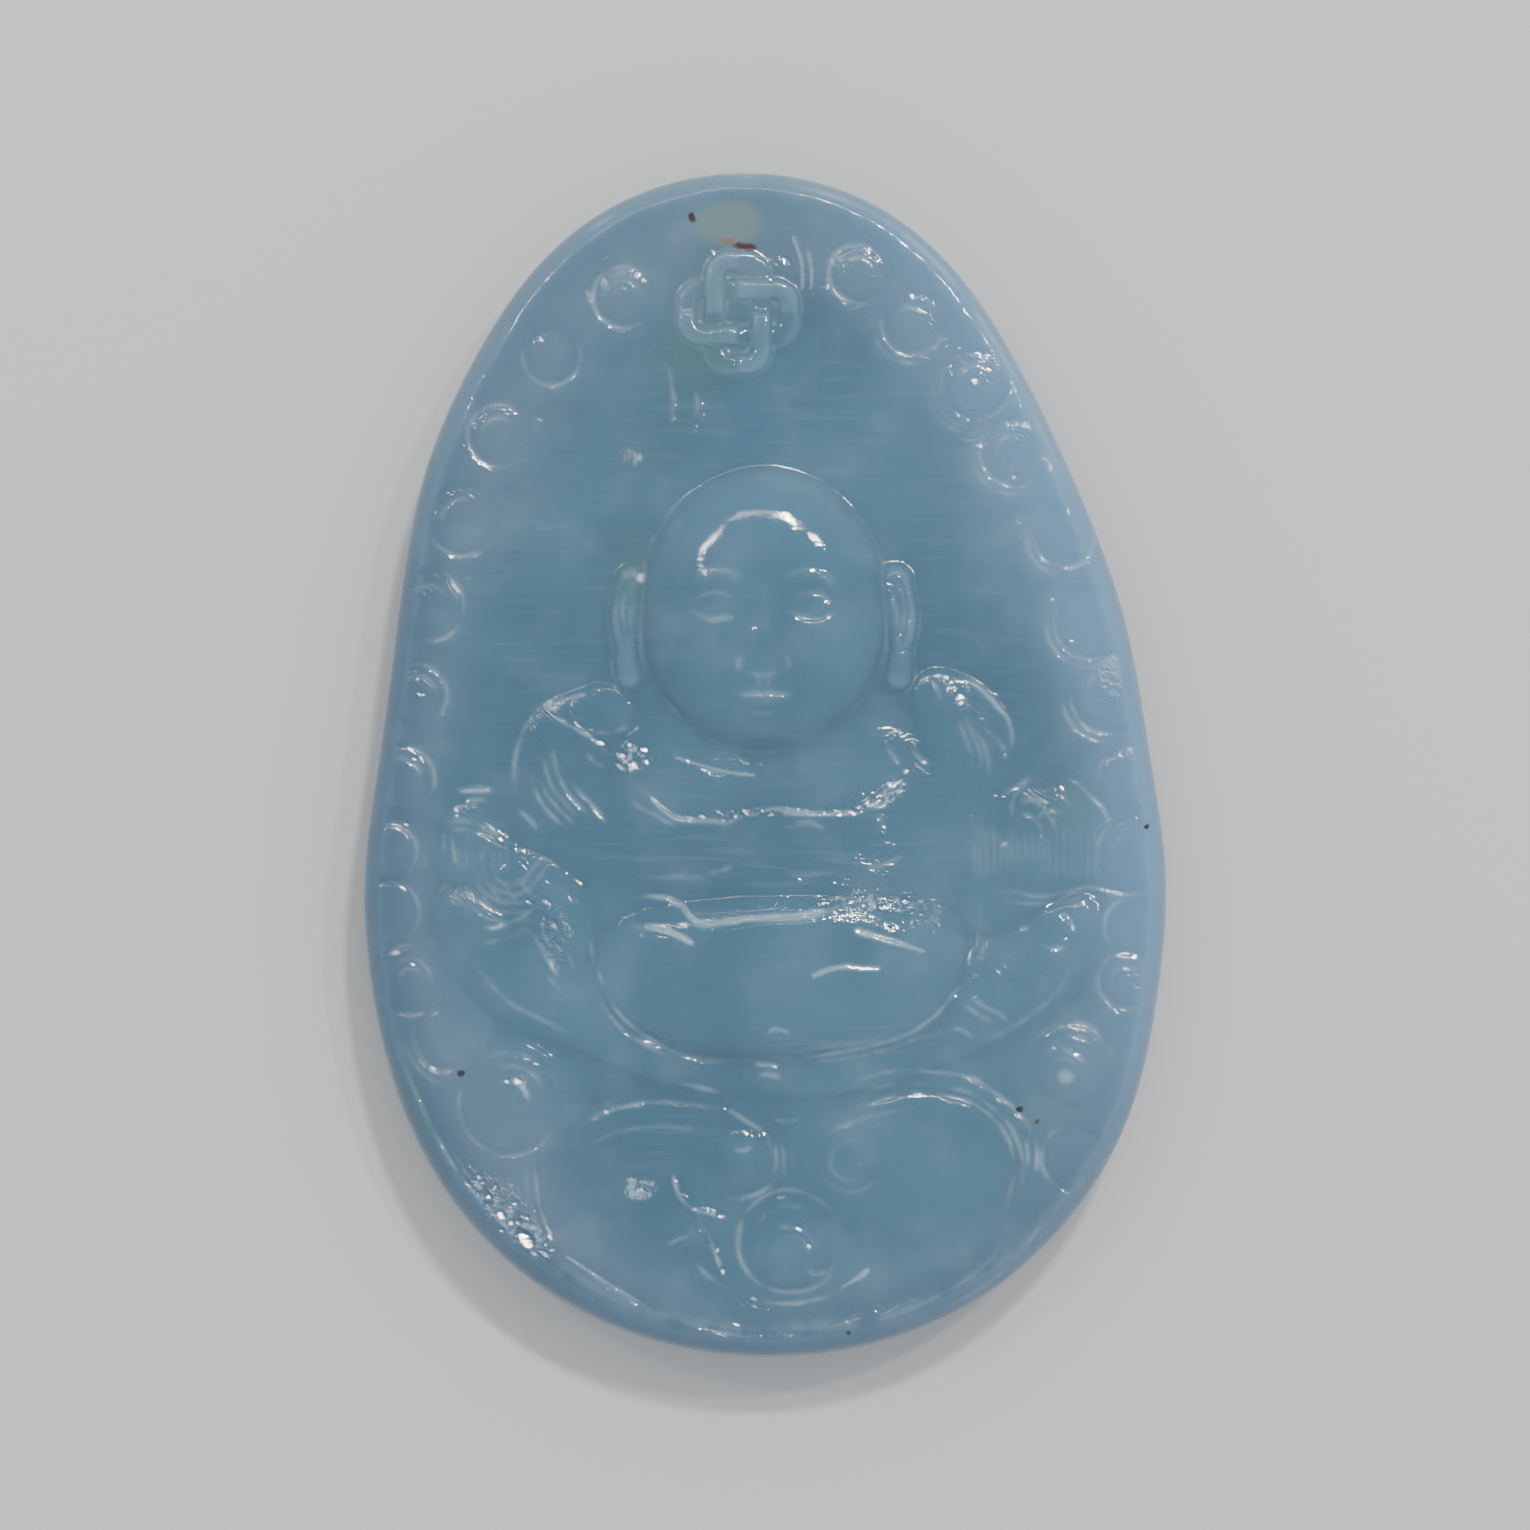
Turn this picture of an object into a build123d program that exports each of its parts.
from build123d import *
import math
import os

# A carved jade pendant: an egg-shaped plaque with a seated figure in relief,
# a border of domed beads, a cloud-scroll head at the bottom and a small
# interlaced knot at the top. It is one piece of stone, so it is one solid.
#
# Millimetres. The plaque lies on its flat back: the back is z = 0, the carved
# front faces +Z, and the pendant's top points to +Y. The origin is the centre
# of the outline's box, on the back face.

# ---- driving dimensions -------------------------------------------------
LENGTH = 44.0           # overall, top to bottom
WIDTH = 29.8            # overall, side to side
RIM_Z = 4.75            # thickness at the border
GROUND_Z = 4.40         # thickness left beside the border; the middle swells to 5.04
BACK_ROUND = 0.9        # rounding of the back edge
FRONT_ROUND = 1.05      # rounding of the front edge
BEAD_TOP = 5.15         # height of the tallest bead
EDGE_INSET = 0.4        # beads are trimmed this far inside the outline
WALL_SLOPE = 45.0       # degrees, slope of the ground's wall

HOLE_R = 0.75           # hanging hole, drilled from the top edge to the back
HOLE_BACK_Y = 17.8      # where its axis meets the back face
HOLE_ANGLE = 32.0       # degrees between its axis and the back face
HOLE_FLARE_BACK = 1.45  # ball-burr flare at the back mouth
HOLE_FLARE_TOP = 1.1    # ball-burr flare at the top mouth

# ---- outline: one row for each height -------------------------------------
#   y,     left x, right x
OUTLINE = [
    (20.6,  -5.95,   4.45),
    (18.5,  -8.50,   6.95),
    (15.5, -10.58,   9.05),
    (11.0, -12.60,  11.30),
    (5.5,  -13.66,  13.35),
    (0.0,  -14.40,  14.38),
    (-4.0, -14.90,  14.90),
    (-8.5, -14.60,  14.60),
    (-13.0, -13.38, 13.55),
    (-17.0, -10.98, 11.20),
    (-20.2, -7.05,   7.35),
]
TOP_APEX = (-0.75, 22.0)
BOTTOM_APEX = (0.1, -22.0)

# ---- limit of the recessed ground: x, y --------------------------------------
GROUND = [
    (0.1, -20.6), (3.5, -20.2), (6.6, -19.0), (8.7, -17.1), (9.8, -14.8), (10.2, -12.2), (11.5, -9.4), (12.5, -6.5),
    (12.8, -3.3), (12.6, -0.3), (12.0, 2.4), (11.1, 5.2), (10.1, 8.2), (8.5, 11.2), (6.9, 13.5), (4.9, 15.7), (2.9, 17.2),
    (-0.9, 17.9), (-4.4, 16.6), (-7.1, 14.5), (-8.9, 11.7), (-10.4, 8.6), (-11.5, 5.7), (-12.2, 2.6), (-12.7, -0.4),
    (-13.1, -3.2), (-13.0, -5.5), (-12.2, -7.8), (-10.9, -9.8), (-9.3, -12.1), (-8.4, -14.2), (-8.0, -16.1), (-6.3, -18.4), (-3.3, -20.1),
]

# ---- beads of the border --------------------------------------------------
#   x,      y,      r,    top z
BEADS = [
    (-5.21, 17.29, 1.04, 4.93), (-7.88, 15.08, 0.96, 4.93), (-9.79, 12.17, 1.06, 4.96),
    (-11.13, 9.04, 1.21, 4.96), (-12.40, 5.90, 1.20, 4.93), (-12.88, 2.60, 1.04, 4.95),
    (-13.40, -0.54, 1.15, 4.92), (-13.75, -3.20, 1.00, 4.90), (-13.75, -5.50, 1.05, 4.90),
    (-13.08, -7.92, 1.17, 5.02), (-11.79, -10.08, 1.08, 5.01), (-9.42, -12.50, 1.78, 5.13),
    (3.42, 18.17, 0.96, 4.93), (5.46, 16.33, 1.07, 4.95), (7.79, 14.08, 1.17, 5.01),
    (9.21, 11.58, 1.17, 4.98), (11.08, 8.46, 1.04, 4.95), (12.00, 5.25, 1.22, 4.96),
    (12.72, 2.63, 1.35, 5.01), (13.35, -0.54, 1.12, 4.93), (13.55, -3.29, 1.20, 4.93),
    (13.60, -5.96, 0.98, 4.91), (13.30, -7.95, 0.95, 4.95), (11.33, -11.04, 1.46, 5.05),
    (11.40, -14.50, 1.10, 4.90),
]

# ---- rounded masses: the swelling ground, then the figure --------------------
#   name,          x,     y,     z,   rx,  ry,  rz, turn
MASSES = [
    ("mound",       0.00, -1.00, 3.94, 13.2, 20.0, 1.10,  0),
    ("head",       -0.05,  5.80, 4.90, 4.60, 5.20, 1.30,  0),
    ("ear_left",   -5.05,  4.95, 4.85, 0.68, 2.30, 0.40,  4),
    ("ear_right",   4.95,  4.95, 4.85, 0.68, 2.30, 0.40, -4),
    ("chest",       0.00, -1.10, 4.90, 6.20, 3.30, 0.36,  0),
    ("torso",       0.40, -4.50, 4.90, 6.95, 5.00, 0.74,  0),
    ("arm_left",   -7.15, -0.40, 4.80, 1.85, 3.30, 0.55,  3),
    ("arm_right",   7.40, -0.10, 4.80, 1.75, 3.40, 0.55, -4),
    ("belly",       0.55, -7.70, 4.85, 7.10, 3.35, 1.12,  0),
    ("hand_left", -10.40, -3.40, 4.30, 1.70, 2.20, 0.56, -12),
    ("hand_right", 10.80, -2.75, 4.30, 1.90, 1.95, 0.56, 10),
    ("knee_left",  -9.00, -7.30, 4.35, 3.40, 1.95, 0.56, -28),
    ("knee_right",  9.60, -7.35, 4.35, 3.30, 1.95, 0.56, 30),
    ("lap",         0.40, -10.5, 4.75, 7.60, 1.60, 0.44,  0),
]

# ---- the scroll head below ------------------------------------------------
#   name,           x,      y,     r,   top z
LOBES = [
    ("lobe_left",  -3.95, -16.50, 4.40, 4.92),
    ("lobe_right",  5.05, -16.30, 4.35, 4.92),
]
#   name,             x,      y,     r,   top z
BOSSES = [
    ("volute_left",  -0.96, -14.60, 1.22, 5.15),
    ("volute_right",  3.17, -14.58, 1.40, 5.17),
    ("pearl",         0.90, -17.57, 1.78, 5.28),
    ("seed",          3.62, -18.87, 0.45, 5.05),
]
LOBE_EDGE = 0.30        # rounding of the lobes' edges
BOSS_FOOT = 4.70        # level at which a boss has its full radius

# ---- the knot at the top: two long links crossed ----------------------------
KNOT_X, KNOT_Y = -1.0, 16.70
KNOT_LONG = 4.6         # link length
KNOT_SHORT = 2.5        # link width
KNOT_BAR = 0.78         # bar width
KNOT_TOP = 4.74


def table_outline(rows, top, bottom, inset=0.0):
    """A smooth closed curve: up the right side of the table, down the left."""
    fx, fy = 1 - 2 * inset / WIDTH, 1 - 2 * inset / LENGTH
    right = [(r[2], r[0]) for r in reversed(rows)]
    left = [(r[1], r[0]) for r in rows]
    points = [bottom] + right + [top] + left
    return Spline([(x * fx, y * fy) for x, y in points], periodic=True)


def slab(wire, z0, z1, taper=0.0):
    face = make_face(wire)
    return extrude(Plane.XY.offset(z0) * face, z1 - z0, taper=taper)


def cap(x, y, r, top, sink):
    """A ball whose cap above the level `sink` has the radius r."""
    h = top - sink
    big = (r * r + h * h) / (2 * h)
    return Pos(x, y, top - big) * Sphere(big)


def ellipsoid(x, y, z, rx, ry, rz, turn):
    return Pos(x, y, z) * Rot(0, 0, turn) * scale(Sphere(1.0), by=(rx, ry, rz))


# ---- the blank ----------------------------------------------------------------
def blank(height, rounding, inset=0.0):
    body = slab(table_outline(OUTLINE, TOP_APEX, BOTTOM_APEX, inset), 0, height)
    body = fillet(body.edges().group_by(Axis.Z)[-1], rounding)
    return fillet(body.edges().group_by(Axis.Z)[0], BACK_ROUND)


plate = blank(RIM_Z, FRONT_ROUND)
envelope = blank(BEAD_TOP + 0.3, FRONT_ROUND, EDGE_INSET)   # trims the beads

# ---- recessed ground --------------------------------------------------------------
field = Spline(GROUND, periodic=True)
plate = plate - slab(field, GROUND_Z, RIM_Z + 0.5, taper=-WALL_SLOPE)

# ---- beads, cut to the blank's rounded edge ------------------------------------------
beads = [envelope & cap(x, y, r, top, RIM_Z - 0.03) for x, y, r, top in BEADS]

# ---- figure -------------------------------------------------------------------------
above = Pos(0, 0, 5.5) * Box(40, 60, 9.0)      # keeps what is over z = 1
masses = [above & ellipsoid(*row[1:]) for row in MASSES]

# ---- scroll head -----------------------------------------------------------------------
lobes = []
for name, x, y, r, top in LOBES:
    disc = Pos(x, y, 1.0) * extrude(Circle(r), top - 1.0)
    disc = fillet(disc.edges().group_by(Axis.Z)[-1], LOBE_EDGE)
    lobes.append(disc & envelope)
bosses = [above & cap(x, y, r, top, BOSS_FOOT) for name, x, y, r, top in BOSSES]

# ---- knot ----------------------------------------------------------------------------------


def link(dx, dy):
    outer = RectangleRounded(dx, dy, 0.95)
    inner = RectangleRounded(dx - 2 * KNOT_BAR, dy - 2 * KNOT_BAR, 0.3)
    ring = extrude(outer - inner, KNOT_TOP - 1.0)
    return Pos(KNOT_X, KNOT_Y, 1.0) * ring


knot = [link(KNOT_LONG, KNOT_SHORT), link(KNOT_SHORT, KNOT_LONG)]

# ---- one solid ---------------------------------------------------------------------------------
stone = plate
for piece in beads + lobes + masses + bosses + knot:
    stone = stone + piece

# ---- hanging hole, with a ball-burr flare at each mouth ---------------------------------------
a = math.radians(HOLE_ANGLE)
direction = Vector(0, math.cos(a), math.sin(a))
back_mouth = Vector(TOP_APEX[0], HOLE_BACK_Y, 0)
reach = (TOP_APEX[1] - HOLE_BACK_Y) / math.cos(a)
top_mouth = back_mouth + direction * reach
drill = Plane(origin=back_mouth - direction * 3, z_dir=direction) * extrude(Circle(HOLE_R), reach + 6)
top_ball = top_mouth + direction * 0.15        # the burr's centre, just outside the edge
drill = drill + Pos(back_mouth) * Sphere(HOLE_FLARE_BACK) + Pos(top_ball) * Sphere(HOLE_FLARE_TOP)
stone = stone - drill

wall_from = math.sqrt(HOLE_FLARE_BACK ** 2 - HOLE_R ** 2)
wall_to = reach + 0.15 - math.sqrt(HOLE_FLARE_TOP ** 2 - HOLE_R ** 2)
middle = back_mouth + direction * ((wall_from + wall_to) / 2)

solids = stone.solids()
print("solids", len(solids), "volumes", [round(s.volume, 2) for s in solids])
box = stone.bounding_box()
print("box", box.min, box.max)
print("hole wall", round(wall_to - wall_from, 3), "middle", middle, "direction", direction)

os.makedirs("parts", exist_ok=True)
export_step(solids[0], "parts/jade_plaque.step")
